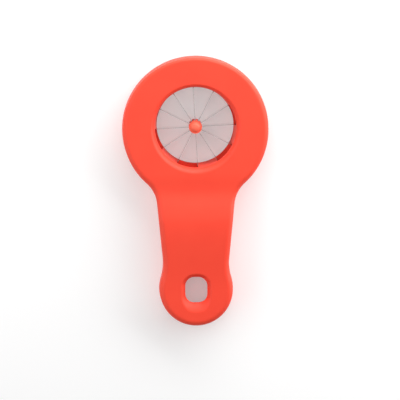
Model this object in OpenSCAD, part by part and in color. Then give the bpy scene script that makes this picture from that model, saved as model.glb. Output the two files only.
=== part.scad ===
// Radial vegetable cutter: a two-shell moulded handle whose ring head clamps
// a slotted carrier, and a star of steel blades that meet at a small hub.
// Millimetres, +Z up out of the front face, handle along -Y. The origin is
// below the middle of the part's outline, on the flat rest face.

/* [Head] */
// Outside diameter of the ring head
head_d = 65; // [60:0.5:72]
// Thickness of the head, from the rest face to the front face
head_h = 13; // [12:0.25:16]
// Clear diameter of the front opening, below its rounded lip
throat_d = 36; // [32:0.5:38]
// Radius of the rounded lip round the front opening
lip_r = 3.2; // [2.4:0.1:3.6]
// Distance of the opening's centre from the head's centre, away from the handle
throat_shift = 1.1; // [0:0.1:2]

/* [Handle] */
// Distance from the head's centre to the centre of the end lobe
handle_reach = 71.7; // [66:0.1:90]
// Diameter of the round end lobe
end_d = 33; // [30:0.5:36]
// Width of the handle where it leaves the neck
neck_w = 34.2; // [32:0.2:38]
// Distance from the head's centre at which the neck width is taken
neck_at = 35; // [33:0.5:38]
// Width of the handle at its waist, above the end lobe
waist_w = 29.4; // [26:0.2:31]
// Distance from the end lobe's centre at which the waist width is taken
waist_from_end = 12; // [9:0.5:14]
// Radius of the hollow curve between the head and the handle
neck_r = 15; // [12:0.5:18]
// Radius of the hollow curve between the waist and the end lobe
waist_r = 24; // [18:0.5:30]
// Rise of the thumb hump above the front face
hump_h = 1.8; // [0.4:0.1:2.4]
// Distance from the head's centre to the crest of the thumb hump
hump_at = 41; // [38:0.5:46]
// Length of the ramp from the head's face up to the crest
hump_ramp = 14; // [10:0.5:16]
// Length of the slope from the crest down to the end lobe
hump_tail = 22; // [16:0.5:24]

/* [Shells] */
// Wall thickness of the two shells
wall_t = 2.2; // [1.8:0.1:2.6]
// Height of the parting plane above the rest face
split_z = 5.5; // [5:0.25:6.5]
// Radius of the rounded edge round the front face
edge_r = 2.4; // [1.6:0.1:3]
// Radius of the rounded edge round the rest face
rear_edge_r = 1.6; // [0.8:0.1:2]
// Inward draft of each shell's side wall
draft = 0.2; // [0.1:0.05:0.4]
// Depth of the fine groove that marks the parting line
seam = 0.2; // [0.1:0.05:0.3]
// Height of the tongue that centres the front shell on the rear shell
lap_h = 1.2; // [0.8:0.1:1.6]
// Thickness of the ribs inside the shells
rib_t = 1.4; // [1:0.1:2]
// Number of ribs round the head
head_ribs = 8; // [4:1:12]
// Number of ribs across the handle
handle_ribs = 3; // [2:1:5]
// Radius of a locating peg
peg_r = 1.5; // [1.2:0.1:1.8]
// Length of a locating peg below the parting plane
peg_l = 2.4; // [1.6:0.1:3]

/* [Hanging slot] */
// Width of the hanging slot
slot_w = 9.8; // [8:0.2:11]
// Length of the hanging slot, along the handle
slot_l = 11.6; // [11.2:0.1:14]
// Distance of the slot's centre from the end lobe's centre, away from the head
slot_shift = 0.8; // [0:0.1:1.5]
// Width of the flared lip round the slot's front
slot_flare_w = 3.6; // [2:0.1:3.8]
// Width of the flared lip round the slot's rear
slot_rear_w = 1.5; // [0.8:0.1:2]
// Height of the straight wall that each shell leaves at the slot's narrowest place
slot_land = 0.5; // [0.3:0.1:1.5]

/* [Blades] */
// Number of blades, an even number
blade_count = 12; // [8:2:14]
// Angle of the first blade from the X axis
blade_turn = 3; // [0:0.5:15]
// Thickness of a blade
blade_t = 0.4; // [0.3:0.05:0.5]
// Depth of the cutting edges below the front flange
edge_drop = 0.5; // [0.3:0.1:1.5]
// Height of the ground bevel below the cutting edge
bevel_h = 1.2; // [0.6:0.1:1.6]
// Thickness left at the cutting edge
bevel_tip = 0.08; // [0.05:0.01:0.15]
// Depth of the shoulder cut in each end of a blade
shoulder = 0.6; // [0.4:0.1:0.8]

/* [Blade carrier] */
// Thickness of the rear flange that the carrier sits on
flange_t = 1.4; // [1.2:0.1:1.6]
// Radius of the rounded lip round the rear opening
rear_lip_r = 0.8; // [0.4:0.1:1]
// Height of the straight wall below the rounded front lip
lip_land = 0.5; // [0.3:0.1:0.8]
// Narrowing of the carrier's bore, per side, from its front to its rear
carrier_taper = 0.9; // [0.5:0.1:1.2]
// Radial thickness of the carrier round the front of its bore
carrier_wall = 3.9; // [3.4:0.1:4.2]
// Depth, in from the bore, of the pocket in every second bay
bay_depth = 1.5; // [1:0.1:1.8]
// Height of the ledge left at the rear of a pocket
bay_ledge = 0.8; // [0.6:0.1:3]
// Depth of a blade's seat in the carrier, past the bore
seat_depth = 2.5; // [2.2:0.1:2.8]

/* [Hub] */
// Diameter of the hub
hub_d = 5.8; // [5.4:0.1:7]
// Depth of a blade's seat in the hub
hub_seat = 1.2; // [1:0.05:1.4]
// Thickness of the hub's floor below the blade seats
hub_floor = 1; // [0.8:0.1:1.2]
// Chamfer round the hub's rear end
hub_chamfer = 0.6; // [0.3:0.1:0.8]
// Height of the hub cap's dome
dome_h = 1.9; // [1.2:0.1:2.4]
// Radius of the stem below the hub cap
stem_r = 0.85; // [0.6:0.05:0.95]
// Length of the stem below the hub cap
stem_l = 4; // [3:0.1:4.6]

/* [Fits] */
// Clearance, per side, between pieces that slot together
fit = 0.05; // [0.02:0.01:0.1]

/* [Hidden] */
BLADES = [for (i = [1:blade_count]) str("blade_", i < 10 ? "0" : "", i)];
$fn = 96;
shell_colour = [0.99, 0.34, 0.25];
steel_colour = [0.75, 0.75, 0.77];
// Overlap that lets a cut run cleanly past a face
past = 1;
// Height by which a lip's arc starts above its face, so that it meets the face at an angle
lip_start = 0.12;

head_r = head_d / 2;
end_r = end_d / 2;
end_c = [0, -handle_reach];
// Distance that puts the middle of the outline on the origin
head_y = (handle_reach + end_r - head_r) / 2;

// Outline: the handle's side line, and the two hollow arcs that join it to the head and to the end lobe
neck_p = [neck_w / 2, -neck_at];
waist_p = [waist_w / 2, waist_from_end - handle_reach];
side_dir = (waist_p - neck_p) / norm(waist_p - neck_p);
side_out = [-side_dir.y, side_dir.x];

// Centre of the arc of radius r that touches the side line and the circle of radius cr about c;
// end is 1 for the arc further down the line and -1 for the one nearer the head
function blend_centre(c, cr, r, end) =
    let (start = neck_p + r * side_out - c,
         along = start * side_dir,
         reach = along * along - start * start + (cr + r) * (cr + r))
    c + start + (end * sqrt(reach) - along) * side_dir;
function angle_of(v) = atan2(v.y, v.x);

neck_c = blend_centre([0, 0], head_r, neck_r, 1);
waist_c = blend_centre(end_c, end_r, waist_r, -1);
head_turn = angle_of(neck_c);
side_turn = angle_of(side_out);
end_turn = angle_of(waist_c - end_c);
side_top = neck_c - neck_r * side_out;
side_end = waist_c - waist_r * side_out;

// Points of an arc as [x, y, outward angle]; side is 1 on a round stretch and -1 on a hollow one
function arc(c, r, side, from, to, steps, first) =
    [for (i = [first:steps]) let (a = from + (to - from) * i / steps)
        [c.x + side * r * cos(a), c.y + side * r * sin(a), a]];
function straight(p, q, turn, steps) =
    [for (i = [1:steps]) let (s = p + (q - p) * i / steps) [s.x, s.y, turn]];

head_steps = 38;
neck_steps = 9;
side_steps = 7;
waist_steps = 6;
end_steps = 22;
right_side = concat(
    arc([0, 0], head_r, 1, 90, head_turn, head_steps, 0),
    arc(neck_c, neck_r, -1, head_turn, side_turn, neck_steps, 1),
    straight(side_top, side_end, side_turn, side_steps),
    arc(waist_c, waist_r, -1, side_turn, end_turn, waist_steps, 1),
    arc(end_c, end_r, 1, end_turn, -90, end_steps, 1));
side_count = len(right_side);
loop_count = 2 * side_count - 2;

// The whole outline, moved in by an inset, clockwise from the top of the head
function loop(inset) =
    let (half = [for (p = right_side) [p.x - inset * cos(p.z), p.y - inset * sin(p.z)]])
    concat(half, [for (i = [side_count - 2:-1:1]) [-half[i].x, half[i].y]]);

// Smooth step from 0 to 1, and the height of the thumb hump at a distance y along the handle
function ease(t) = let (u = min(1, max(0, t))) u * u * (3 - 2 * u);
function hump(y) =
    hump_h * ease((-y - hump_at + hump_ramp) / hump_ramp) * (1 - ease((-y - hump_at) / hump_tail));

// Levels of a rounded edge as [inset, height, share of the hump]; up is 1 at the front and -1 at the rear
edge_steps = 5;
function rounded_edge(r, z, up, share) =
    [for (i = [0:edge_steps]) let (a = 90 * i / edge_steps)
        [draft + r * (1 - cos(a)), z - up * r * (1 - sin(a)), share]];
front_levels = concat(
    [[seam, split_z, 0], [0, split_z + seam, 0]],
    rounded_edge(edge_r, head_h, 1, 1));
rear_edge = rounded_edge(rear_edge_r, 0, -1, 0);
rear_levels = concat(
    [for (i = [edge_steps:-1:0]) rear_edge[i]],
    [[0, split_z - seam, 0], [seam, split_z, 0]]);

// Heights and places of the blade cartridge, which is centred on the opening
throat_c = [0, throat_shift];
throat_r = throat_d / 2;
carrier_top = head_h - lip_r - lip_land;
carrier_r = throat_r + carrier_wall;
pocket_r = carrier_r + fit;
rear_bore_r = throat_r - carrier_taper;
blade_z = flange_t + shoulder;
blade_top = carrier_top - edge_drop;
blade_h = blade_top - blade_z;
foot_r = throat_r + seat_depth;
hub_r = hub_d / 2;
toe_r = hub_r - hub_seat;
toe_z = blade_z + shoulder;
blade_step = 360 / blade_count;
slot_c = end_c - [0, slot_shift];
slot_straight = slot_l - slot_w;
slot_flare_h = head_h - split_z - slot_land;
slot_rear_h = split_z - slot_land;
boss_w = slot_w + 2 * wall_t;

// Places of the locating pegs: two in the head's ring, level with the opening, and two along the handle
head_peg_x = (pocket_r + head_r) / 2;
pegs = [[head_peg_x, throat_shift], [-head_peg_x, throat_shift], [0, -neck_at], [0, waist_p.y]];
socket_r = peg_r + wall_t / 2;

// Triangles that close the outline whose first point has the index from, in strips across its width;
// up is 1 to face up and -1 to face down
function cap(from, up) =
    [for (i = [0:side_count - 2])
        let (a = from + i,
             b = from + i + 1,
             c = from + (loop_count - i - 1) % loop_count,
             d = from + (loop_count - i) % loop_count)
        each [if (b != c) up > 0 ? [a, b, c] : [c, b, a],
              if (a != d) up > 0 ? [a, c, d] : [d, c, a]]];

// Solid between stacked copies of the outline, each at its own inset and height
module stack(levels) {
    points = [for (l = levels, p = loop(l[0])) [p.x, p.y, l[1] + l[2] * hump(p.y)]];
    sides = [for (k = [0:len(levels) - 2], i = [0:loop_count - 1])
        let (a = k * loop_count + i,
             b = k * loop_count + (i + 1) % loop_count)
        each [[a, a + loop_count, b + loop_count], [a, b + loop_count, b]]];
    polyhedron(points, concat(cap(0, -1), sides, cap((len(levels) - 1) * loop_count, 1)), convexity = 6);
}

module in_frame() {
    translate([0, head_y, 0]) children();
}

module at_throat() {
    translate(throat_c) children();
}

module at_blade(i) {
    at_throat() rotate(blade_turn + i * blade_step) children();
}

module slot_outline(w) {
    square([w, slot_straight], center = true);
    for (s = [-1, 1]) translate([0, s * slot_straight / 2]) circle(d = w);
}

// Flat region of the hollow inside a shell: the outline less its wall, the wall round the carrier,
// the slot's boss, the ribs and the bosses of the pegs
module hollow() {
    difference() {
        polygon(loop(wall_t));
        at_throat() circle(pocket_r + wall_t);
        translate(slot_c) slot_outline(boss_w);
        for (i = [0:head_ribs - 1]) at_throat() rotate((i + 0.5) * 360 / head_ribs)
            translate([0, -rib_t / 2]) square([head_r, rib_t]);
        translate([-rib_t / 2, -handle_reach]) square([rib_t, handle_reach]);
        for (i = [0:handle_ribs - 1]) translate([0, -neck_at + (waist_p.y + neck_at) * i / (handle_ribs - 1)])
            square([neck_w, rib_t], center = true);
        for (p = pegs) translate(p) circle(socket_r);
    }
}

// Half section of a lipped hole of radius r: its lip, w wide and h deep, rolls out onto a face at height z
module lip_section(r, w, h, z, up) {
    difference() {
        translate([0, up > 0 ? z - h + lip_start : z - past]) square([r + w, h - lip_start + past]);
        translate([r + w, z - up * (h - lip_start)]) scale([w, h]) circle(1);
    }
}

// Flared cut along the hanging slot's outline
module slot_lip(w, h, z, up) {
    translate(slot_c) {
        for (s = [0, 1]) rotate(180 * s) translate([0, slot_straight / 2, 0])
            rotate_extrude(angle = 180) lip_section(slot_w / 2, w, h, z, up);
        rotate([90, 0, 0]) linear_extrude(slot_straight, center = true)
            for (s = [0, 1]) mirror([s, 0]) lip_section(slot_w / 2, w, h, z, up);
    }
}

module slot_cut(from, to) {
    translate([0, slot_c.y, from]) linear_extrude(to - from) slot_outline(slot_w);
}

module front_shell() {
    color(shell_colour) in_frame() {
        difference() {
            stack(front_levels);
            translate([0, 0, split_z - past]) linear_extrude(head_h - wall_t - split_z + past) hollow();
            translate([0, 0, split_z - past]) linear_extrude(lap_h + fit + past) difference() {
                polygon(loop(wall_t / 2 - fit));
                polygon(loop(wall_t + fit));
            }
            at_throat() {
                translate([0, 0, split_z - past]) cylinder(r = pocket_r, h = carrier_top - split_z + past);
                cylinder(r = throat_r, h = head_h);
                rotate_extrude() lip_section(throat_r, lip_r, lip_r, head_h, 1);
            }
            slot_cut(split_z - past, head_h);
            slot_lip(slot_flare_w, slot_flare_h, head_h, 1);
        }
        for (p = pegs) translate([p.x, p.y, split_z - peg_l]) cylinder(r = peg_r, h = peg_l);
    }
}

module rear_shell() {
    color(shell_colour) in_frame() {
        difference() {
            stack(rear_levels);
            translate([0, 0, wall_t]) linear_extrude(split_z) hollow();
            at_throat() {
                translate([0, 0, flange_t]) cylinder(r = pocket_r, h = split_z);
                translate([0, 0, -past]) cylinder(r = rear_bore_r, h = split_z);
                rotate_extrude() lip_section(rear_bore_r, rear_lip_r, rear_lip_r, 0, -1);
            }
            slot_cut(-past, split_z + past);
            slot_lip(slot_rear_w, slot_rear_h, 0, -1);
            for (p = pegs) translate([p.x, p.y, split_z - peg_l - fit])
                cylinder(r = peg_r + fit, h = peg_l + past);
        }
        translate([0, 0, split_z]) linear_extrude(lap_h) difference() {
            polygon(loop(wall_t / 2));
            polygon(loop(wall_t));
        }
    }
}

// Half section of the carrier: its bore narrows to the rear
module carrier_section() {
    polygon([
        [rear_bore_r, flange_t],
        [carrier_r, flange_t],
        [carrier_r, carrier_top - fit],
        [throat_r, carrier_top - fit]]);
}

module blade_carrier() {
    color(shell_colour) in_frame() difference() {
        at_throat() rotate_extrude() carrier_section();
        for (i = [0:2:blade_count - 1]) at_blade(i)
            translate([0, 0, flange_t + bay_ledge])
                rotate_extrude(angle = blade_step) square([throat_r + bay_depth, carrier_top]);
        for (i = [0:blade_count - 1]) at_blade(i)
            translate([0, -blade_t / 2 - fit, blade_z])
                cube([foot_r + fit, blade_t + 2 * fit, carrier_top]);
    }
}

module hub_core() {
    color(shell_colour) in_frame() difference() {
        at_throat() rotate_extrude() polygon([
            [0, toe_z - hub_floor],
            [hub_r - hub_chamfer, toe_z - hub_floor],
            [hub_r, toe_z - hub_floor + hub_chamfer],
            [hub_r, blade_top],
            [0, blade_top]]);
        for (i = [0:blade_count - 1]) at_blade(i)
            translate([toe_r - fit, -blade_t / 2 - fit, toe_z])
                cube([hub_r, blade_t + 2 * fit, blade_h]);
        at_throat() translate([0, 0, blade_top - stem_l - fit])
            cylinder(r = stem_r + fit, h = stem_l + past);
    }
}

module hub_cap() {
    dome_r = (hub_r * hub_r + dome_h * dome_h) / (2 * dome_h);
    color(shell_colour) in_frame() at_throat() {
        translate([0, 0, blade_top]) rotate_extrude() intersection() {
            translate([0, dome_h - dome_r]) circle(dome_r);
            square([dome_r, dome_h]);
        }
        translate([0, 0, blade_top - stem_l]) cylinder(r = stem_r, h = stem_l);
    }
}

// Side view of a blade: a toe in the hub, the ground span between, and a foot in the carrier
module blade_profile() {
    polygon([
        [toe_r, toe_z],
        [hub_r + fit, toe_z],
        [hub_r + fit, blade_z],
        [foot_r, blade_z],
        [foot_r, blade_top - shoulder],
        [throat_r, blade_top - shoulder],
        [throat_r - carrier_taper, blade_top],
        [hub_r + fit, blade_top],
        [hub_r + fit, blade_top - shoulder],
        [toe_r, blade_top - shoulder]]);
}

// Section of the metal ground away from one side of the cutting edge
module bevel_section() {
    polygon([
        [blade_t / 2, blade_top - bevel_h],
        [blade_t, blade_top - bevel_h],
        [blade_t, blade_top + past],
        [bevel_tip / 2, blade_top + past],
        [bevel_tip / 2, blade_top]]);
}

module blade(i) {
    color(steel_colour) in_frame() at_blade(i) difference() {
        rotate([90, 0, 0]) linear_extrude(blade_t, center = true) blade_profile();
        for (s = [0, 1]) mirror([0, s, 0]) translate([hub_r + fit, 0, 0])
            rotate([90, 0, 90]) linear_extrude(throat_r - hub_r) bevel_section();
    }
}

front_shell();
rear_shell();
blade_carrier();
hub_core();
hub_cap();
for (i = [0:blade_count - 1])
    blade(i);
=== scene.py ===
"""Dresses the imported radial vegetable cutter: moulded shells, blade star, hub and studio."""

import math

import bmesh
import bpy
import numpy as np
from bpy.props import FloatProperty, FloatVectorProperty, IntProperty, PointerProperty
from mathutils import Matrix, Vector
from mathutils.geometry import delaunay_2d_cdt


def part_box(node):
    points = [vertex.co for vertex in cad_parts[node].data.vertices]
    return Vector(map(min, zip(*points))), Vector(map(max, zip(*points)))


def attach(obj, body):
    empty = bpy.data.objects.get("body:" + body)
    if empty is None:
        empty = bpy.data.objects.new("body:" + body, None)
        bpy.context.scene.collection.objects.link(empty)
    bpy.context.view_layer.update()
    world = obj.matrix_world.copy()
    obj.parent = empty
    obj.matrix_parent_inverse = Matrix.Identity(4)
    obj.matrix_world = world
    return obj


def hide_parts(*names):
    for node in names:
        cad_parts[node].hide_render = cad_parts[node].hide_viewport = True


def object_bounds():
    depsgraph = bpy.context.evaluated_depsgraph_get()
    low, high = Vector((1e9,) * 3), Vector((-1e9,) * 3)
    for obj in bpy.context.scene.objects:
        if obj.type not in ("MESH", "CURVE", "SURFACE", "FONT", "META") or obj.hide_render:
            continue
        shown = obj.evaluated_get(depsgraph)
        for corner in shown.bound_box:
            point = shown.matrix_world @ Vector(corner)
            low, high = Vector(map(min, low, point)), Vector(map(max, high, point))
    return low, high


bl_info = {
    "name": "Radial vegetable cutter",
    "version": (1, 0, 0),
    "blender": (4, 5, 0),
    "location": "View3D > Sidebar > Cutter",
    "description": "Builds the looks of a one-hand vegetable cutter with a star of radial blades",
    "category": "Object",
}

MM = 0.001

# Fineness of the meshes

# Distance between points of the outline, on a face that shows, and on the hidden parting plane
OUTLINE_STEP = 0.7 * MM
FACE_SPACING = 1.1 * MM
HIDDEN_SPACING = 4 * MM
# Height of a row of points and least gap to a border, as shares of that distance
ROW_STEP = 0.87
BORDER_GAP = 0.6
# Distance within which a filled face takes two points as one
WELD = 1e-9
# Steps round an edge or a lip, and round a corner and along a side of the slot
ROUND_STEPS = 8
CORNER_STEPS = 16
SIDE_STEPS = 8
# Points round the opening and the hub cap, and along the cap's rim and dome
THROAT_POINTS = 160
CAP_POINTS = 72
RIM_POINTS = 6
DOME_POINTS = 12
# Width of the strip beside a rounded edge that keeps the face's shading even
SUPPORT = 0.35 * MM
# Share of a side wall's draft and swell that is reached at its first support loop
WALL_SUPPORT = 0.1
# Share of a lip's turn at which it leaves its face
LIP_START = 0.3
# Angles past which an edge is shaded sharp, on a moulded piece and on a blade
CREASE = math.radians(38)
BEVEL_CREASE = math.radians(5)

# Patterns of the finishes

# Level that a noise swings about
NOISE_MIDDLE = 0.5
# Stretch and turn, in radians, of the plastic's rub marks
RUB_STRETCH = (1, 9, 1)
RUB_TURN = 0.6
# Ranges of noise that make a cloud and a rub mark
CLOUD_RANGE = (0.35, 0.65)
RUB_RANGE = (0.66, 0.80)
# Swing of the plastic's roughness with its clouds and grain, and what a rub mark adds
PLASTIC_SWING = 0.10
RUB_ROUGHNESS = 0.06
# Stretch of the steel's rolled and ground lines, and their drift from blade to blade
ROLL_STRETCH = 0.04
GRIND_STRETCH = 0.06
LINE_DRIFT = 0.02
# How much the lines and the stains darken the steel, and how much the lines roughen it
LINE_TONE = 0.6
STAIN_TONE = 0.3
LINE_ROUGHNESS = 0.05
# Half of the height over which a bevel's finish gives way to that of the flats
BEVEL_BLEND = 0.05 * MM
# Brightness of the darker tones of the hub cap and of the steel
CAP_DEEP = 0.94
STEEL_DEEP = 0.93

# Studio

# Points along each side of the picture
IMAGE_SIDE = 400
# Distance from the opening, and width and height, of each light, in metres
LAMPS = {
    "key": (0.2, (0.34, 0.34)),
    "window": (0.35, (1.1, 0.3)),
    "fill": (0.8, (1.2, 0.6)),
}
# Rays that see the floor's own white
SEEN_RAYS = ("Camera", "Glossy", "Transmission")
# Half of the floor's side, in metres, and its gap below the rest face
FLOOR_HALF = 3.0
FLOOR_GAP = 0.05 * MM

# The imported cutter

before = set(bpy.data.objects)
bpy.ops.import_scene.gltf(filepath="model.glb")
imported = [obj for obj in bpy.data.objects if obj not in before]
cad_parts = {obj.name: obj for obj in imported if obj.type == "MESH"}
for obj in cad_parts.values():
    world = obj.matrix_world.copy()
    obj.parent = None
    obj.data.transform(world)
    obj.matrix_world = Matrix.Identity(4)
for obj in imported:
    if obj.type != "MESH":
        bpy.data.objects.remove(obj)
CAD_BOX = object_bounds()
BLADE_NODES = sorted(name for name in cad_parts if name.startswith(("blade_0", "blade_1")))
BLADE_LOW, BLADE_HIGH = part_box(BLADE_NODES[0])
CARRIER_LOW, CARRIER_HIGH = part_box("blade_carrier")
HUB_LOW, HUB_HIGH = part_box("hub_core")
CAP_LOW, CAP_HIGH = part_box("hub_cap")
# Centre of the opening, and of the star in it
THROAT = (CARRIER_LOW.xy + CARRIER_HIGH.xy) / 2


def length(name, description, millimetres):
    """A size that is written in millimetres and kept in metres."""
    default = millimetres * MM
    return FloatProperty(name=name, description=description, default=default, min=0, unit="LENGTH")


def position(name, description, millimetres):
    """A place along an axis, written in millimetres and kept in metres; it may be negative."""
    return FloatProperty(name=name, description=description, default=millimetres * MM, unit="LENGTH")


def angle(name, description, degrees):
    """An angle that is written in degrees and kept in radians."""
    default = math.radians(degrees)
    return FloatProperty(name=name, description=description, default=default, subtype="ANGLE")


def colour(name, description, rgb):
    """A colour of linear red, green and blue."""
    settings = {"default": rgb, "min": 0, "max": 1, "subtype": "COLOR"}
    return FloatVectorProperty(name=name, description=description, **settings)


def share(name, description, value):
    """A number from 0 to 1."""
    settings = {"default": value, "min": 0, "max": 1, "subtype": "FACTOR"}
    return FloatProperty(name=name, description=description, **settings)


def power(name, description, watts):
    """The power of a light."""
    return FloatProperty(name=name, description=description, default=watts, min=0, subtype="POWER")


class CutterShellSizes(bpy.types.PropertyGroup):
    """Sizes of the two moulded shells."""

    head_h: length("Head height", "Thickness of the ring head", 13)
    throat_d: length("Opening", "Clear diameter of the front opening", 36)
    lip_w: length("Opening lip", "Mean width of the rounded lip round the front opening", 1.9)
    lip_h: length("Opening lip depth", "Depth of the rounded lip round the front opening", 3.1)
    lip_lean: length("Opening lip lean", "How much wider the lip is towards the handle", 0.3)
    rear_bore_d: length("Rear opening", "Clear diameter of the rear opening", 34.2)
    rear_lip_r: length("Rear lip", "Radius of the rounded lip round both holes at the rear", 0.8)
    end_d: length("End lobe", "Diameter of the round end lobe", 33)
    neck_w: length("Neck width", "Width of the handle where it leaves the neck", 34.2)
    neck_at: length("Neck place", "Distance from the head's centre to the neck width", 35)
    waist_w: length("Waist width", "Width of the handle above the end lobe", 29.4)
    waist_from_end: length("Waist place", "Distance from the end lobe's centre to the waist", 12)
    neck_r: length("Neck curve", "Radius of the hollow curve between head and handle", 15)
    waist_r: length("Waist curve", "Radius of the hollow curve between waist and end lobe", 24)
    hump_h: length("Hump height", "Rise of the thumb hump above the front face", 1.6)
    hump_at: length("Hump place", "Distance from the head's centre to the hump's crest", 41)
    hump_ramp: length("Hump ramp", "Length of the ramp up to the crest", 14)
    hump_tail: length("Hump tail", "Length of the slope from the crest to the end lobe", 31)
    crease_h: length("Crease depth", "Depth of the soft crease between the ring and the hump", 0.4)
    crease_w: length("Crease length", "Length of that crease along the handle", 15)
    split_z: length("Parting height", "Height of the parting plane above the rest face", 5.5)
    edge_r: length("Front edge", "Radius of the rounded edge round the front face", 2.4)
    top_edge_r: length("Top edge", "Radius of that edge at the top of the head", 1.2)
    rear_edge_r: length("Rear edge", "Radius of the rounded edge round the rest face", 1.6)
    draft: length("Draft", "Inward draft of the front shell's side wall", 0.2)
    rear_draft: length("Rear draft", "Inward draft of the rear shell's side wall", 0.6)
    seam: length("Seam", "Depth of the groove along the parting line", 0.2)
    slot_w: length("Slot width", "Width of the hanging slot", 9.8)
    slot_l: length("Slot length", "Length of the hanging slot along the handle", 11.6)
    slot_corner_r: length("Slot corners", "Radius of the hanging slot's round corners", 4.1)
    slot_shift: length("Slot place", "Distance of the slot's centre below the end lobe's centre", 0.1)
    slot_lip_w: length("Slot lip", "Width of the rounded lip along the slot's sides and top", 1.7)
    slot_lip_h: length("Slot lip depth", "Depth of the rounded lip round the slot's front", 2.5)
    slot_lip_lean: length("Slot lip reach", "How much wider that lip is towards the tip", 2.3)
    slot_lip_turn: angle("Slot lip turn", "Angle that the lip turns down before it meets the wall", 50)
    slot_draft: length("Slot draft", "How much the slot widens, per side, from its lip to the rear", 1.8)
    fit: length("Fit", "Clearance between pieces that slot together", 0.05)


class CutterBladeSizes(bpy.types.PropertyGroup):
    """Sizes of the blade star and of its hub."""

    count: IntProperty(name="Blades", description="Number of blades in the star", default=12, min=2)
    turn: angle("First blade", "Angle of the first blade from the X axis", 3)
    thickness: length("Thickness", "Thickness of a blade", 0.4)
    bevel_h: length("Bevel height", "Height of the ground bevel below the cutting edge", 1.2)
    bevel_tip: length("Edge thickness", "Thickness left at the cutting edge", 0.08)
    shoulder: length("Shoulder", "Depth of the shoulder at each end of a blade", 0.6)
    seat: length("Rim seat", "Depth of a blade's foot in the carrier, past the opening", 2.5)
    hub_seat: length("Hub seat", "Depth of a blade's toe in the hub", 1.2)
    cap_edge_r: length("Cap edge", "Radius of the rounded edge round the hub cap", 0.45)
    cap_break: length("Broken edge", "Small chamfer on the hub cap's hidden edges", 0.12)
    stem_r: length("Stem", "Radius of the stem that holds the hub cap", 0.85)


class CutterFinish(bpy.types.PropertyGroup):
    """Colours and surface values of the finishes."""

    plastic: colour("Plastic", "Colour of the moulded plastic", (0.93, 0.067, 0.034))
    plastic_deep: colour("Plastic, deep", "Darker tone that clouds the plastic", (0.92, 0.063, 0.032))
    plastic_scuff: colour("Plastic, scuffed", "Pale tone of the fine rub marks", (0.95, 0.10, 0.058))
    # The cap's paler tone is painted light: it brightens the dome beyond what the lamps give the shells'
    # plastic.
    cap: colour("Cap", "Colour of the hub cap, paler than the shells", (0.95, 0.155, 0.090))
    plastic_roughness: share("Plastic roughness", "Roughness of the moulded plastic", 0.5)
    cloud_size: length("Clouds", "Size of the faint clouds in the plastic", 14)
    grain_size: length("Grain", "Size of the plastic's moulded grain", 0.22)
    grain_depth: length("Grain depth", "Depth of that grain", 0.012)
    rub_size: length("Rub marks", "Size of the rub marks along their length", 5)
    rub_show: share("Rub strength", "How strongly the rub marks show", 0.22)
    steel: colour("Steel", "Colour of the blade steel", (0.92, 0.91, 0.91))
    # The bevel's darker tone is partly the duller ground finish and partly painted shade, so that each edge
    # shows as a dark hairline.
    bevel: colour("Bevel", "Colour of the ground bevel along each edge", (0.74, 0.71, 0.71))
    steel_roughness: share("Steel roughness", "Roughness of the polished flats of a blade", 0.06)
    bevel_roughness: share("Bevel roughness", "Roughness of the ground bevel", 0.22)
    roll_size: length("Rolled lines", "Spacing of the fine lines along a blade's flats", 0.12)
    grind_size: length("Ground lines", "Spacing of the fine lines across its bevel", 0.10)
    line_depth: length("Line depth", "Depth of both kinds of lines", 0.004)
    stain_size: length("Stains", "Size of the faint stains on the steel", 6)
    floor: colour("Floor", "Colour of the studio floor", (0.72, 0.72, 0.72))
    floor_glow: colour("Floor glow", "White that the floor adds where it is seen", (0.30, 0.30, 0.30))


class CutterStudio(bpy.types.PropertyGroup):
    """Camera and light of the studio."""

    distance: length("Distance", "Distance from the camera to the cutter", 1600)
    tilt: angle("Tilt", "Angle of the view from straight down, towards the head", 9)
    side: angle("Side", "Angle of the view from straight down, towards the right", -1.5)
    roll: angle("Roll", "Turn of the picture about the line of sight", -0.26)
    pixel: length("Pixel", "Size of one picture point at the cutter", 0.4447)
    aim_x: position("Aim across", "Place across the cutter at the middle of the picture", 1.9)
    aim_y: position("Aim along", "Place along the cutter at the middle of the picture", -4)
    room_level: FloatProperty(
        name="Room light", description="Strength of the even room light", default=0.25, min=0
    )
    key_power: power("Key light", "Power of the broad light above the head's left", 0.17)
    key_tilt: angle("Key tilt", "Angle of the key light from straight above the opening", 30)
    key_turn: angle("Key turn", "Direction of the key light, from the right towards the head", 138)
    window_power: power("Window light", "Power of the long low light beyond the head's right", 4.6)
    window_tilt: angle("Window tilt", "Angle of the window light from straight above the opening", 67)
    window_turn: angle("Window turn", "Direction of the window light, counted the same way", 50)
    fill_power: power("Fill light", "Power of the far low light on the left", 3.2)
    fill_tilt: angle("Fill tilt", "Angle of the fill light from straight above the opening", 60)
    fill_turn: angle("Fill turn", "Direction of the fill light, counted the same way", 186)


class Socket:
    """A node's output that takes part in Python arithmetic; each operator adds a Math node."""

    def __init__(self, nodes, output):
        self.nodes = nodes
        self.output = output

    def combine(self, operation, first, second):
        """The result of a Math node on two values."""
        return self.nodes.add("ShaderNodeMath", {"operation": operation}, {0: first, 1: second})

    def __add__(self, other):
        return self.combine("ADD", self, other)

    def __sub__(self, other):
        return self.combine("SUBTRACT", self, other)

    def __rsub__(self, other):
        return self.combine("SUBTRACT", other, self)

    def __mul__(self, other):
        return self.combine("MULTIPLY", self, other)

    def __rtruediv__(self, other):
        return self.combine("DIVIDE", other, self)

    def __pow__(self, other):
        return self.combine("POWER", self, other)

    __radd__ = __add__
    __rmul__ = __mul__

    def smooth(self, low, high):
        """0 below low, 1 above high, and a smooth rise between them."""
        settings = {"interpolation_type": "SMOOTHSTEP", "clamp": True}
        sockets = {"Value": self, "From Min": low, "From Max": high}
        return self.nodes.add("ShaderNodeMapRange", settings, sockets)


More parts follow.
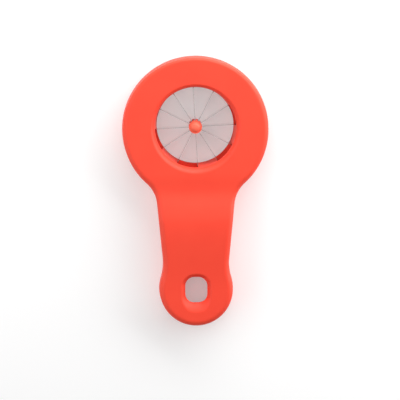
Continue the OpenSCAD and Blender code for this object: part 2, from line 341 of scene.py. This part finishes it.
class Nodes:
    """Builds the nodes of one tree."""

    def __init__(self, tree):
        self.tree = tree

    def add(self, kind, settings=(), sockets=(), output=0):
        """A node of that kind: its settings are set first, then its sockets get values or links."""
        node = self.tree.nodes.new(kind)
        for name, value in dict(settings).items():
            setattr(node, name, value)
        for name, value in dict(sockets).items():
            self.feed(node.inputs[name], value)
        return Socket(self, node.outputs[output])

    def feed(self, socket, value):
        """Links a node's output to a socket, or sets a plain value there."""
        if isinstance(value, Socket):
            self.tree.links.new(value.output, socket)
        elif socket.type == "RGBA":
            socket.default_value = (*value, 1)
        else:
            socket.default_value = value


class ShaderTree(Nodes):
    """The nodes of one material, ending in a Principled shader."""

    def __init__(self, name):
        self.material = bpy.data.materials.new(name)
        self.material.use_nodes = True
        super().__init__(self.material.node_tree)
        self.tree.nodes.clear()
        self.end = self.tree.nodes.new("ShaderNodeOutputMaterial")

    def place(self):
        """The point on the piece, in metres."""
        return self.add("ShaderNodeTexCoord", output="Object")

    def split(self, vector):
        """The three parts of a vector."""
        first = self.add("ShaderNodeSeparateXYZ", {}, {"Vector": vector})
        return [Socket(self, output) for output in first.output.node.outputs]

    def noise(self, vector, size, detail=2.0, roughness=0.5):
        """Cloudy noise from 0 to 1 whose features are about size metres across."""
        sockets = {"Vector": vector, "Scale": 1 / size, "Detail": detail, "Roughness": roughness}
        return self.add("ShaderNodeTexNoise", {}, sockets, "Fac")

    def mix(self, factor, first, second):
        """A colour between two colours; a Mix node's sockets share names, so they go by number."""
        return self.add("ShaderNodeMix", {"data_type": "RGBA"}, {0: factor, 6: first, 7: second}, 2)

    def bump(self, height, depth, strength):
        """A normal that follows a height, whose full range is that depth."""
        return self.add("ShaderNodeBump", {}, {"Height": height, "Distance": depth, "Strength": strength})

    def surface(self, **sockets):
        """Ends the material in a Principled shader with these sockets, given with _ for a space."""
        named = {name.replace("_", " "): value for name, value in sockets.items()}
        self.feed(self.end.inputs["Surface"], self.add("ShaderNodeBsdfPrincipled", {}, named))
        return self.material


class RepeatTree(Nodes):
    """A Geometry Nodes tree with named inputs, for a shape that repeats."""

    def __init__(self, name):
        super().__init__(bpy.data.node_groups.new(name, "GeometryNodeTree"))
        for way in ("INPUT", "OUTPUT"):
            self.tree.interface.new_socket("Geometry", in_out=way, socket_type="NodeSocketGeometry")
        self.start = self.tree.nodes.new("NodeGroupInput")
        self.end = self.tree.nodes.new("NodeGroupOutput")
        self.values = {}

    def shape(self):
        """The shape that the tree is given."""
        return Socket(self, self.start.outputs["Geometry"])

    def input(self, name, kind, value):
        """A named input of the tree, and the value that it gets."""
        item = self.tree.interface.new_socket(name, in_out="INPUT", socket_type=kind)
        self.values[item.identifier] = value
        return Socket(self, self.start.outputs[name])

    def finish(self, geometry, material):
        """Ends the tree: its instances become real faces with a finish."""
        real = self.add("GeometryNodeRealizeInstances", {}, {"Geometry": geometry})
        dressed = self.add("GeometryNodeSetMaterial", {}, {"Geometry": real, "Material": material})
        self.feed(self.end.inputs["Geometry"], dressed)

    def apply(self, piece):
        """Runs the tree on a piece and keeps the result as the piece's plain mesh."""
        modifier = piece.modifiers.new(self.tree.name, "NODES")
        modifier.node_group = self.tree
        for identifier, value in self.values.items():
            modifier[identifier] = value
        graph = bpy.context.evaluated_depsgraph_get()
        made = bpy.data.meshes.new_from_object(piece.evaluated_get(graph))
        piece.modifiers.clear()
        piece.data = made


def toned(rgb, level):
    """A colour at a share of its brightness."""
    return tuple(level * part for part in rgb)


def moulded_plastic(name, finish, tone, deep):
    """Satin plastic of two near tones: a fine moulded grain, faint clouding and a few pale rub marks."""
    made = bpy.data.materials.get(name)
    if made:
        return made
    tree = ShaderTree(name)
    place = tree.place()
    cloud = tree.noise(place, finish.cloud_size, detail=3)
    grain = tree.noise(place, finish.grain_size, roughness=0.6)
    slant = {"Vector": place, "Rotation": (0, 0, RUB_TURN), "Scale": RUB_STRETCH}
    slanted = tree.add("ShaderNodeMapping", {}, slant)
    rubs = tree.noise(slanted, finish.rub_size, detail=4, roughness=0.65).smooth(*RUB_RANGE)
    clouded = tree.mix(cloud.smooth(*CLOUD_RANGE), tone, deep)
    base = tree.mix(rubs * finish.rub_show, clouded, finish.plastic_scuff)
    swing = (cloud + grain - 2 * NOISE_MIDDLE) * PLASTIC_SWING
    roughness = finish.plastic_roughness + swing + rubs * RUB_ROUGHNESS
    bump = tree.bump(grain, finish.grain_depth, strength=0.35)
    return tree.surface(Base_Color=base, Roughness=roughness, Normal=bump, Specular_IOR_Level=0.3)


def shell_plastic(finish):
    """The orange-red plastic of the shells, the carrier and the hub's core."""
    return moulded_plastic("moulded_plastic_satin", finish, finish.plastic, finish.plastic_deep)


def cap_plastic(finish):
    """The shell plastic made paler for the hub cap: painted light that brightens the cap's dome."""
    return moulded_plastic("cap_plastic_satin", finish, finish.cap, toned(finish.cap, CAP_DEEP))


def blade_steel(finish, bevel_h):
    """Polished strip steel with fine lines along each blade, and a duller, darker ground bevel under its
    edge; part of the bevel's darkness is painted shade that keeps each edge a dark hairline.
    """
    tree = ShaderTree("blade_steel_ground")
    place = tree.place()
    centre = {0: place, 1: (*THROAT, 0)}
    x, y, z = tree.split(tree.add("ShaderNodeVectorMath", {"operation": "SUBTRACT"}, centre))
    reach = (x * x + y * y) ** 0.5
    along = {"X": reach * ROLL_STRETCH, "Y": z, "Z": x * LINE_DRIFT}
    across = {"X": reach, "Y": z * GRIND_STRETCH, "Z": y * LINE_DRIFT}
    fine = {"detail": 3, "roughness": 0.6}
    rolled = tree.noise(tree.add("ShaderNodeCombineXYZ", {}, along), finish.roll_size, **fine)
    ground = tree.noise(tree.add("ShaderNodeCombineXYZ", {}, across), finish.grind_size, **fine)
    stain = tree.noise(place, finish.stain_size, detail=3)
    honed = BLADE_HIGH.z - bevel_h
    bevel = z.smooth(honed - BEVEL_BLEND, honed + BEVEL_BLEND)
    flats = 1 - bevel
    lines = rolled * flats + ground * bevel
    worn = lines * LINE_TONE + stain * STAIN_TONE
    steel = tree.mix(worn, finish.steel, toned(finish.steel, STEEL_DEEP))
    # Darker bevel tone: partly its ground finish, partly painted shade along each edge.
    base = tree.mix(bevel, steel, finish.bevel)
    polish = finish.steel_roughness * flats + finish.bevel_roughness * bevel
    roughness = polish + (lines - NOISE_MIDDLE) * LINE_ROUGHNESS
    bump = tree.bump(lines, finish.line_depth, strength=0.25)
    return tree.surface(Base_Color=base, Metallic=1.0, Roughness=roughness, Normal=bump)


def ease(t):
    """A smooth step from 0 to 1."""
    t = np.clip(t, 0, 1)
    return t * t * (3 - 2 * t)


def blend_centre(circle, circle_r, arc_r, start, along, out, end):
    """Centre of the arc that touches a circle and a line.

    The line runs from start along a direction, with its outward side out. The end is 1 for the arc further
    down the line and -1 for the one nearer its start.
    """
    offset = start + arc_r * out - circle
    ahead = offset.dot(along)
    reach = ahead * ahead - offset.dot(offset) + (circle_r + arc_r) ** 2
    return circle + offset + (end * math.sqrt(reach) - ahead) * along


class BodyOutline:
    """The outline of both shells: points with outward normals, clockwise from the top of the head."""

    def __init__(self, s):
        low, high = CAD_BOX
        self.sizes = s
        self.head_r = (high.x - low.x) / 2
        self.end_r = s.end_d / 2
        self.head = Vector((0, high.y - self.head_r))
        self.end = Vector((0, low.y + self.end_r))
        neck = self.head + Vector((s.neck_w / 2, -s.neck_at))
        waist = self.end + Vector((s.waist_w / 2, s.waist_from_end))
        along = (waist - neck).normalized()
        out = Vector((-along.y, along.x))
        neck_c = blend_centre(self.head, self.head_r, s.neck_r, neck, along, out, 1)
        waist_c = blend_centre(self.end, self.end_r, s.waist_r, neck, along, out, -1)
        head_turn = self.turn(neck_c - self.head)
        end_turn = self.turn(waist_c - self.end)
        side_turn = self.turn(out)
        right = [
            *self.arc(self.head, self.head_r, math.pi / 2, head_turn),
            *self.arc(neck_c, -s.neck_r, head_turn, side_turn),
            *self.line(neck_c - s.neck_r * out, waist_c - s.waist_r * out, out),
            *self.arc(waist_c, -s.waist_r, side_turn, end_turn),
            *self.arc(self.end, self.end_r, end_turn, -math.pi / 2),
        ]
        tip = [(self.end - Vector((0, self.end_r)), Vector((0, -1)))]
        left = [(Vector((-p.x, p.y)), Vector((-n.x, n.y))) for p, n in reversed(right[1:])]
        points, normals = zip(*right, *tip, *left)
        self.points = np.array(points)
        self.normals = np.array(normals)

    @staticmethod
    def turn(v):
        """Angle of a direction from the X axis."""
        return math.atan2(v.y, v.x)

    @staticmethod
    def arc(centre, r, start, stop):
        """Points of an arc, without its last one; r is negative on a hollow stretch."""
        count = max(2, math.ceil(abs(r * (stop - start)) / OUTLINE_STEP))
        for i in range(count):
            a = start + (stop - start) * i / count
            normal = Vector((math.cos(a), math.sin(a)))
            yield centre + r * normal, normal

    @staticmethod
    def line(start, stop, normal):
        """Points of a straight stretch, without its last one."""
        count = math.ceil((stop - start).length / OUTLINE_STEP)
        for i in range(count):
            yield start.lerp(stop, i / count), normal

    def inset(self, depth):
        """The outline moved inwards by a depth, or by a depth for each point."""
        return self.points - np.reshape(depth, (-1, 1)) * self.normals

    def edge_r(self):
        """Radius of the front edge at each point; it tightens round the top of the head."""
        s = self.sizes
        up = ease((self.points[:, 1] - self.head.y) / self.head_r)
        return s.edge_r + (s.top_edge_r - s.edge_r) * up

    def hump(self, y):
        """Rise of the front face at places along the cutter: a soft crease, then the thumb hump."""
        s = self.sizes
        down = self.head.y - np.asarray(y)
        foot = s.hump_at - s.hump_ramp
        rise = ease((down - foot) / s.hump_ramp)
        fall = ease((down - s.hump_at) / s.hump_tail)
        crease = ease(1 - np.abs(down - foot) / (s.crease_w / 2))
        return s.hump_h * rise * (1 - fall) - s.crease_h * crease


def circle_loop(centre, r, count):
    """Points of a circle as an array."""
    a = np.linspace(0, 2 * math.pi, count, endpoint=False)
    return np.column_stack((centre[0] + r * np.cos(a), centre[1] + r * np.sin(a)))


def slot_loop(centre, core, r):
    """Points of a slot: a core rectangle of these half sizes, grown by r so that its corners are round."""
    turns = np.linspace(0, math.pi / 2, CORNER_STEPS + 1)
    arcs = []
    for k, (right, up) in enumerate(((1, 1), (-1, 1), (-1, -1), (1, -1))):
        a = turns + k * math.pi / 2
        middle = np.array((centre[0] + right * core[0], centre[1] + up * core[1]))
        arcs.append(middle + r * np.column_stack((np.cos(a), np.sin(a))))
    stretches = []
    for arc, following in zip(arcs, arcs[1:] + arcs[:1]):
        stretches += [arc, np.linspace(arc[-1], following[0], SIDE_STEPS, endpoint=False)[1:]]
    return np.vstack(stretches)


def inside(points, loop):
    """Which points lie inside a closed loop."""
    x, y = points[:, 0:1], points[:, 1:2]
    ax, ay = loop[:, 0], loop[:, 1]
    bx, by = np.roll(ax, -1), np.roll(ay, -1)
    spans = (ay > y) != (by > y)
    rise = np.where(by == ay, 1, by - ay)
    crossings = spans & (x < ax + (y - ay) * (bx - ax) / rise)
    return crossings.sum(axis=1) % 2 == 1


def between(points, borders):
    """Which points lie inside the first border and outside the others."""
    keep = inside(points, borders[0])
    for hole in borders[1:]:
        keep &= ~inside(points, hole)
    return keep


class Skin:
    """Loops of points, and the faces that join and fill them, for one closed mesh."""

    def __init__(self):
        self.points = []
        self.faces = []

    def loop(self, flat, height):
        """Adds a loop of flat points at a height, or at a height each, and returns its indices."""
        first = len(self.points)
        heights = np.broadcast_to(height, len(flat))
        self.points += [(x, y, z) for (x, y), z in zip(flat, heights)]
        return list(range(first, len(self.points)))

    def bridge(self, *loops):
        """Joins each loop to the next with a band of quads."""
        for low, high in zip(loops, loops[1:]):
            for i in range(len(low)):
                j = (i + 1) % len(low)
                self.faces.append((low[i], low[j], high[j], high[i]))

    def fill(self, outer, holes, height, spacing):
        """Fills the region between a loop and the holes in it with a fine even mesh at height(y)."""
        loops = [outer, *holes]
        borders = [np.array([self.points[i][:2] for i in loop]) for loop in loops]
        inner = self.grid(borders, spacing)
        indices = [i for loop in loops for i in loop]
        links = []
        first = 0
        for loop in loops:
            links += [(first + i, first + (i + 1) % len(loop)) for i in range(len(loop))]
            first += len(loop)
        everything = [Vector(p) for p in np.vstack((*borders, inner))]
        made = delaunay_2d_cdt(everything, links, [], 0, WELD)
        place, triangles, origins = made[0], made[2], made[3]
        middles = np.array([[sum(place[i][k] for i in t) / 3 for k in (0, 1)] for t in triangles])
        keep = between(middles, borders)
        indices += range(len(self.points), len(self.points) + len(inner))
        self.points += [(x, y, z) for (x, y), z in zip(inner, height(inner[:, 1]))]
        number = [indices[origin[0]] for origin in origins]
        self.faces += [tuple(number[i] for i in t) for t, kept in zip(triangles, keep) if kept]

    @staticmethod
    def grid(borders, spacing):
        """Staggered rows of points between the borders and clear of them."""
        low, high = borders[0].min(axis=0), borders[0].max(axis=0)
        rows = np.arange(low[1], high[1], spacing * ROW_STEP)
        columns = np.arange(low[0], high[0], spacing)
        x = columns[None, :] + (np.arange(len(rows)) % 2)[:, None] * spacing / 2
        points = np.column_stack((x.ravel(), np.repeat(rows, len(columns))))
        points = points[between(points, borders)]
        everything = np.vstack(borders)
        gap = np.array([np.hypot(*(everything - p).T).min() for p in points])
        return points[gap > BORDER_GAP * spacing]

    def mesh(self, name, crease):
        """A mesh object, shaded smooth except where faces meet at more than the crease angle."""
        data = bpy.data.meshes.new(name)
        data.from_pydata(self.points, [], self.faces)
        work = bmesh.new()
        work.from_mesh(data)
        bmesh.ops.recalc_face_normals(work, faces=work.faces)
        work.to_mesh(data)
        work.free()
        data.shade_smooth()
        data.set_sharp_from_angle(angle=crease)
        piece = bpy.data.objects.new(name, data)
        bpy.context.scene.collection.objects.link(piece)
        return piece


def lip_levels(r, wide, deep, face, up, lean=0.0, turn=math.pi / 2):
    """Levels of a hole's curved lip as [radius, height, lean], from a flat start on its face to its wall.

    The face looks up where up is 1 and down where it is -1. The lean is full on the face and none at the
    wall, and the lip turns down by an angle before it meets the wall.
    """
    first = LIP_START * turn
    run = math.sin(turn) - math.sin(first)
    fall = math.cos(first) - math.cos(turn)
    lip = []
    for i in range(ROUND_STEPS + 1):
        a = first + (turn - first) * i / ROUND_STEPS
        outward = (math.sin(turn) - math.sin(a)) / run
        down = (math.cos(first) - math.cos(a)) / fall
        lip.append((r + wide * outward, face - up * deep * down, lean * outward))
    return [(r + wide + SUPPORT, face, lean), *lip]


class ShellSkin:
    """Builds one shell's closed skin: its side, its opening, its slot, its face and its parting plane."""

    def __init__(self, sizes):
        self.sizes = sizes
        self.outline = BodyOutline(sizes)
        self.skin = Skin()
        self.pocket_r = (CARRIER_HIGH.x - CARRIER_LOW.x) / 2 + sizes.fit

    def side(self, draft, edge, face, up, swell):
        """Loops from the parting line's groove along the wall and round its edge to the face.

        The face looks up where up is 1 and down where it is -1, and swell is its share of the hump.
        """
        s = self.sizes
        foot = s.split_z + up * s.seam
        far = 1 - WALL_SUPPORT
        levels = [
            (s.seam, s.split_z, 0),
            (0, foot, 0),
            (WALL_SUPPORT * draft, foot + up * SUPPORT, WALL_SUPPORT * swell),
            (far * draft, face - up * (edge + SUPPORT), far * swell),
        ]
        for a in np.linspace(0, math.pi / 2, ROUND_STEPS + 1):
            levels.append((draft + edge * (1 - math.cos(a)), face - up * edge * (1 - math.sin(a)), swell))
        levels.append((draft + edge + SUPPORT, face, swell))
        loops = []
        for depth, height, part in levels:
            flat = self.outline.inset(depth)
            loops.append(self.skin.loop(flat, height + part * self.outline.hump(flat[:, 1])))
        self.skin.bridge(*loops)
        return loops

    def throat(self, r, lip, seat_z):
        """Loops of the round opening, from its lip along its wall and round the carrier's pocket."""
        pocket = [(r, seat_z, 0), (self.pocket_r, seat_z, 0), (self.pocket_r, self.sizes.split_z, 0)]
        loops = []
        for level_r, z, lean in (*lip, *pocket):
            centre = THROAT - Vector((0, lean))
            loops.append(self.skin.loop(circle_loop(centre, level_r, THROAT_POINTS), z))
        self.skin.bridge(*loops)
        return loops

    def slot_half(self, z):
        """Half width of the slot at a height below its lip; its wall leans outwards to the rear."""
        s = self.sizes
        waist = s.head_h - s.slot_lip_h
        return s.slot_w / 2 + s.slot_draft * (waist - z) / waist

    def slot(self, lip):
        """Loops of the hanging slot, from its lip, which reaches towards the tip, to the parting plane."""
        s = self.sizes
        core = (s.slot_w / 2 - s.slot_corner_r, s.slot_l / 2 - s.slot_corner_r)
        centre = self.outline.end - Vector((0, s.slot_shift))
        loops = []
        for half, z, reach in (*lip, (self.slot_half(s.split_z), s.split_z, 0)):
            flat = slot_loop(centre, core, half - core[0])
            down = centre.y - flat[:, 1]
            flat[:, 1] -= reach * ease(down / down.max())
            swell = self.outline.hump(flat[:, 1]) if z > s.split_z else 0
            loops.append(self.skin.loop(flat, z + swell))
        self.skin.bridge(*loops)
        return loops

    def close(self, side, throat, slot, face):
        """Fills the shell's face and its parting plane, and returns the skin."""
        flat = self.sizes.split_z
        self.skin.fill(side[-1], [throat[0], slot[0]], face, FACE_SPACING)
        self.skin.fill(side[0], [throat[-1], slot[-1]], lambda y: np.full(len(y), flat), HIDDEN_SPACING)
        return self.skin


def front_shell_skin(s):
    """Front shell: humped face, rounded rim, lipped opening over the carrier's pocket, dished slot."""
    shell = ShellSkin(s)
    throat_r = s.throat_d / 2
    rolled = lip_levels(throat_r, s.lip_w, s.lip_h, s.head_h, 1, s.lip_lean)
    dish = (s.slot_lip_w, s.slot_lip_h, s.head_h, 1, s.slot_lip_lean, s.slot_lip_turn)
    side = shell.side(s.draft, shell.outline.edge_r(), s.head_h, 1, 1)
    throat = shell.throat(throat_r, rolled, CARRIER_HIGH.z + s.fit)
    slot = shell.slot(lip_levels(s.slot_w / 2, *dish))
    return shell.close(side, throat, slot, lambda y: s.head_h + shell.outline.hump(y))


def rear_shell_skin(s):
    """Rear shell: flat rest face, rounded rim, flange under the carrier, slot."""
    shell = ShellSkin(s)
    bore_r = s.rear_bore_d / 2
    lip = (s.rear_lip_r, s.rear_lip_r, 0, -1)
    side = shell.side(s.rear_draft, s.rear_edge_r, 0, -1, 0)
    throat = shell.throat(bore_r, lip_levels(bore_r, *lip), CARRIER_LOW.z)
    slot = shell.slot(lip_levels(shell.slot_half(s.rear_lip_r), *lip))
    return shell.close(side, throat, slot, np.zeros_like)


def coat(data, material):
    """Gives a mesh one finish all over."""
    data.materials.clear()
    data.materials.append(material)


def dress(piece, material, slot, *nodes):
    """Gives a piece its finish, and lets it stand for its nodes on the one rigid body."""
    coat(piece.data, material)
    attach(piece, "root")
    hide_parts(*nodes)


class CUTTER_OT_front_shell(bpy.types.Operator):
    """Build the humped front shell with its opening and its hanging slot"""

    bl_idname = "cutter.front_shell"
    bl_label = "Front shell"

    def execute(self, context):
        scene = context.scene
        piece = front_shell_skin(scene.cutter_shell).mesh("front_shell_moulded", CREASE)
        dress(piece, shell_plastic(scene.cutter_finish), "moulded_plastic", "front_shell")
        return {"FINISHED"}


class CUTTER_OT_rear_shell(bpy.types.Operator):
    """Build the flat rear shell with its flange and its slot"""

    bl_idname = "cutter.rear_shell"
    bl_label = "Rear shell"

    def execute(self, context):
        scene = context.scene
        piece = rear_shell_skin(scene.cutter_shell).mesh("rear_shell_moulded", CREASE)
        dress(piece, shell_plastic(scene.cutter_finish), "moulded_plastic", "rear_shell")
        return {"FINISHED"}


class CUTTER_OT_carrier(bpy.types.Operator):
    """Give the slotted carrier and the hub's core their moulded finish"""

    bl_idname = "cutter.carrier"
    bl_label = "Carrier and hub core"

    def execute(self, context):
        plastic = shell_plastic(context.scene.cutter_finish)
        for name in ("blade_carrier", "hub_core"):
            coat(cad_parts[name].data, plastic)
        return {"FINISHED"}


def turned_skin(centre, profile, count):
    """A closed skin turned about a vertical axis, from [radius, height] points that start and end on it."""
    skin = Skin()
    rings = [skin.loop(circle_loop(centre, r, count), z) for r, z in profile[1:-1]]
    skin.bridge(*rings)
    for ring, (_, z) in ((rings[0], profile[0]), (rings[-1], profile[-1])):
        tip = len(skin.points)
        skin.points.append((*centre, z))
        skin.faces += [(ring[i - 1], ring[i], tip) for i in range(count)]
    return skin


def cap_profile(blade):
    """Outline of the hub cap: a stem, a flat underside, a rounded rim and a low dome."""
    r = (CAP_HIGH.x - CAP_LOW.x) / 2
    seat = HUB_HIGH.z
    rim = blade.cap_edge_r
    flat_r = r - rim
    rise = CAP_HIGH.z - seat - rim
    dome_r = (flat_r ** 2 + rise ** 2) / (2 * rise)
    half_turn = math.asin(flat_r / dome_r)
    stem_r = blade.stem_r
    cut = blade.cap_break
    stem = [(0, CAP_LOW.z), (stem_r - cut, CAP_LOW.z), (stem_r, CAP_LOW.z + cut)]
    under = [(stem_r, seat), (r - cut, seat), (r, seat + cut)]
    bends = np.linspace(0, math.pi / 2 - half_turn, RIM_POINTS)
    bend = [(flat_r + rim * math.cos(a), seat + rim + rim * math.sin(a)) for a in bends]
    turns = np.linspace(half_turn, 0, DOME_POINTS)
    dome = [(dome_r * math.sin(a), CAP_HIGH.z - dome_r * (1 - math.cos(a))) for a in turns]
    return [*stem, *under, *bend, *dome]


class CUTTER_OT_hub_cap(bpy.types.Operator):
    """Build the domed cap that closes the hub over the blades"""

    bl_idname = "cutter.hub_cap"
    bl_label = "Hub cap"

    def execute(self, context):
        scene = context.scene
        profile = cap_profile(scene.cutter_blades)
        piece = turned_skin(THROAT, profile, CAP_POINTS).mesh("hub_cap_moulded", CREASE)
        dress(piece, cap_plastic(scene.cutter_finish), "moulded_plastic", "hub_cap")
        return {"FINISHED"}


def blade_skin(blade, shell):
    """One blade along X from the hub: a toe, flat sides with a bevel ground to a fine edge, and a foot."""
    low, high = BLADE_LOW.z, BLADE_HIGH.z
    hub_r = (HUB_HIGH.x - HUB_LOW.x) / 2
    throat_r = shell.throat_d / 2
    flat = blade.thickness / 2
    edge = blade.bevel_tip / 2
    honed = high - blade.bevel_h
    step = high - blade.shoulder
    run_out = throat_r - (shell.throat_d - shell.rear_bore_d) / 2
    stations = [
        (hub_r - blade.hub_seat, low + blade.shoulder, step, flat),
        (hub_r, low + blade.shoulder, step, flat),
        (hub_r + shell.fit, low, high, edge),
        (run_out, low, high, edge),
        (throat_r, low, step, flat),
        (throat_r + blade.seat, low, step, flat),
    ]
    skin = Skin()
    sections = []
    for x, bottom, top, half in stations:
        first = len(skin.points)
        right = [(flat, bottom), (flat, honed), (half, top)]
        left = [(-y, z) for y, z in reversed(right)]
        skin.points += [(x, y, z) for y, z in right + left]
        sections.append(list(range(first, len(skin.points))))
    skin.bridge(*sections)
    skin.faces += [tuple(sections[0]), tuple(sections[-1])]
    return skin


def star_tree(blade, material):
    """Copies a blade that lies along X into an even star round the opening's centre."""
    tree = RepeatTree("blade_star")
    count = tree.input("Blades", "NodeSocketInt", blade.count)
    turn = tree.input("First blade", "NodeSocketFloat", blade.turn)
    centre = tree.input("Centre", "NodeSocketVector", (*THROAT, 0))
    finish = tree.input("Finish", "NodeSocketMaterial", material)
    points = tree.add("GeometryNodePoints", {}, {"Count": count, "Position": centre})
    index = tree.add("GeometryNodeInputIndex")
    rotation = tree.add("ShaderNodeCombineXYZ", {}, {"Z": index * (math.tau / count) + turn})
    sockets = {"Points": points, "Instance": tree.shape(), "Rotation": rotation}
    tree.finish(tree.add("GeometryNodeInstanceOnPoints", {}, sockets), finish)
    return tree


class CUTTER_OT_blades(bpy.types.Operator):
    """Build the star of ground steel blades"""

    bl_idname = "cutter.blades"
    bl_label = "Blades"

    def execute(self, context):
        scene = context.scene
        blade = scene.cutter_blades
        steel = blade_steel(scene.cutter_finish, blade.bevel_h)
        piece = blade_skin(blade, scene.cutter_shell).mesh("blade_star_ground", BEVEL_CREASE)
        star_tree(blade, steel).apply(piece)
        dress(piece, steel, "blade_steel", *BLADE_NODES)
        return {"FINISHED"}


def soft_light(name, watts, size, distance, tilt, turn):
    """A soft light that faces the opening, at a tilt from overhead and a turn from the right."""
    lamp = bpy.data.lights.new(name, "AREA")
    lamp.shape = "RECTANGLE"
    lamp.energy = watts
    lamp.size, lamp.size_y = size
    holder = bpy.data.objects.new(name, lamp)
    bpy.context.scene.collection.objects.link(holder)
    way = Vector((math.sin(tilt) * math.cos(turn), math.sin(tilt) * math.sin(turn), math.cos(tilt)))
    holder.location = THROAT.to_3d() + way * distance
    holder.rotation_euler = way.to_track_quat("Z", "Y").to_euler()


def studio_floor(finish):
    """A wide pale floor, a hair below the cutter's rest face so that the two share no plane."""
    half = FLOOR_HALF
    corners = [(x, y, -FLOOR_GAP) for x, y in ((-half, -half), (half, -half), (half, half), (-half, half))]
    data = bpy.data.meshes.new("studio_floor")
    data.from_pydata(corners, [], [(0, 1, 2, 3)])
    floor = bpy.data.objects.new("studio_floor", data)
    bpy.context.scene.collection.objects.link(floor)
    tree = ShaderTree("studio_floor_paint")
    seen = [tree.add("ShaderNodeLightPath", output=f"Is {ray} Ray") for ray in SEEN_RAYS]
    glow = tree.mix(sum(seen[1:], seen[0]), (0, 0, 0), finish.floor_glow)
    paint = tree.surface(
        Base_Color=finish.floor,
        Roughness=0.9,
        Specular_IOR_Level=0.0,
        Emission_Color=glow,
        Emission_Strength=1.0,
    )
    data.materials.append(paint)


def studio_camera(studio):
    """A long-lens camera that looks down on the cutter, a little from beyond its head."""
    target = Vector((studio.aim_x, studio.aim_y, CAD_BOX[1].z / 2))
    back = Vector((math.tan(studio.side), math.tan(studio.tilt), 1)).normalized()
    up = (Vector((0, 1, 0)) - back.y * back).normalized()
    right = up.cross(back)
    turn = Matrix((right, up, back)).transposed() @ Matrix.Rotation(studio.roll, 3, "Z")
    data = bpy.data.cameras.new("studio_camera")
    data.lens = data.sensor_width * studio.distance / (IMAGE_SIDE * studio.pixel)
    camera = bpy.data.objects.new("studio_camera", data)
    bpy.context.scene.collection.objects.link(camera)
    camera.matrix_world = Matrix.Translation(target + studio.distance * back) @ turn.to_4x4()
    bpy.context.scene.camera = camera


def studio_room(level):
    """An even white room round the cutter."""
    world = bpy.data.worlds.new("studio_room")
    world.use_nodes = True
    room = world.node_tree.nodes["Background"]
    room.inputs["Color"].default_value = (1, 1, 1, 1)
    room.inputs["Strength"].default_value = level
    bpy.context.scene.world = world


class CUTTER_OT_stage(bpy.types.Operator):
    """Set up the studio floor, light and camera"""

    bl_idname = "cutter.stage"
    bl_label = "Studio"

    def execute(self, context):
        studio = context.scene.cutter_studio
        studio_floor(context.scene.cutter_finish)
        studio_camera(studio)
        for name, (distance, size) in LAMPS.items():
            watts, tilt, turn = (getattr(studio, f"{name}_{value}") for value in ("power", "tilt", "turn"))
            soft_light(f"{name}_light", watts, size, distance, tilt, turn)
        studio_room(studio.room_level)
        context.scene.view_settings.view_transform = "Standard"
        return {"FINISHED"}


class CUTTER_PT_panel(bpy.types.Panel):
    """Lists the cutter's pieces, its sizes and its studio"""

    bl_idname = "CUTTER_PT_panel"
    bl_label = "Radial vegetable cutter"
    bl_space_type = "VIEW_3D"
    bl_region_type = "UI"
    bl_category = "Cutter"

    def draw(self, context):
        for operator in OPERATORS:
            self.layout.operator(operator.bl_idname)
        for group in SETTINGS:
            box = self.layout.box()
            settings = getattr(context.scene, group)
            for name in settings.bl_rna.properties.keys():
                if name not in ("rna_type", "name"):
                    box.prop(settings, name)


OPERATORS = (
    CUTTER_OT_front_shell,
    CUTTER_OT_rear_shell,
    CUTTER_OT_carrier,
    CUTTER_OT_hub_cap,
    CUTTER_OT_blades,
    CUTTER_OT_stage,
)
SETTINGS = {
    "cutter_shell": CutterShellSizes,
    "cutter_blades": CutterBladeSizes,
    "cutter_finish": CutterFinish,
    "cutter_studio": CutterStudio,
}
CLASSES = (*SETTINGS.values(), *OPERATORS, CUTTER_PT_panel)


def register():
    for cls in CLASSES:
        bpy.utils.register_class(cls)
    for name, group in SETTINGS.items():
        setattr(bpy.types.Scene, name, PointerProperty(type=group))


def unregister():
    for name in SETTINGS:
        delattr(bpy.types.Scene, name)
    for cls in reversed(CLASSES):
        bpy.utils.unregister_class(cls)


def main():
    """Builds every piece and the studio."""
    register()
    bpy.ops.cutter.front_shell()
    bpy.ops.cutter.rear_shell()
    bpy.ops.cutter.carrier()
    bpy.ops.cutter.hub_cap()
    bpy.ops.cutter.blades()
    bpy.ops.cutter.stage()


if __name__ == "__main__":
    main()
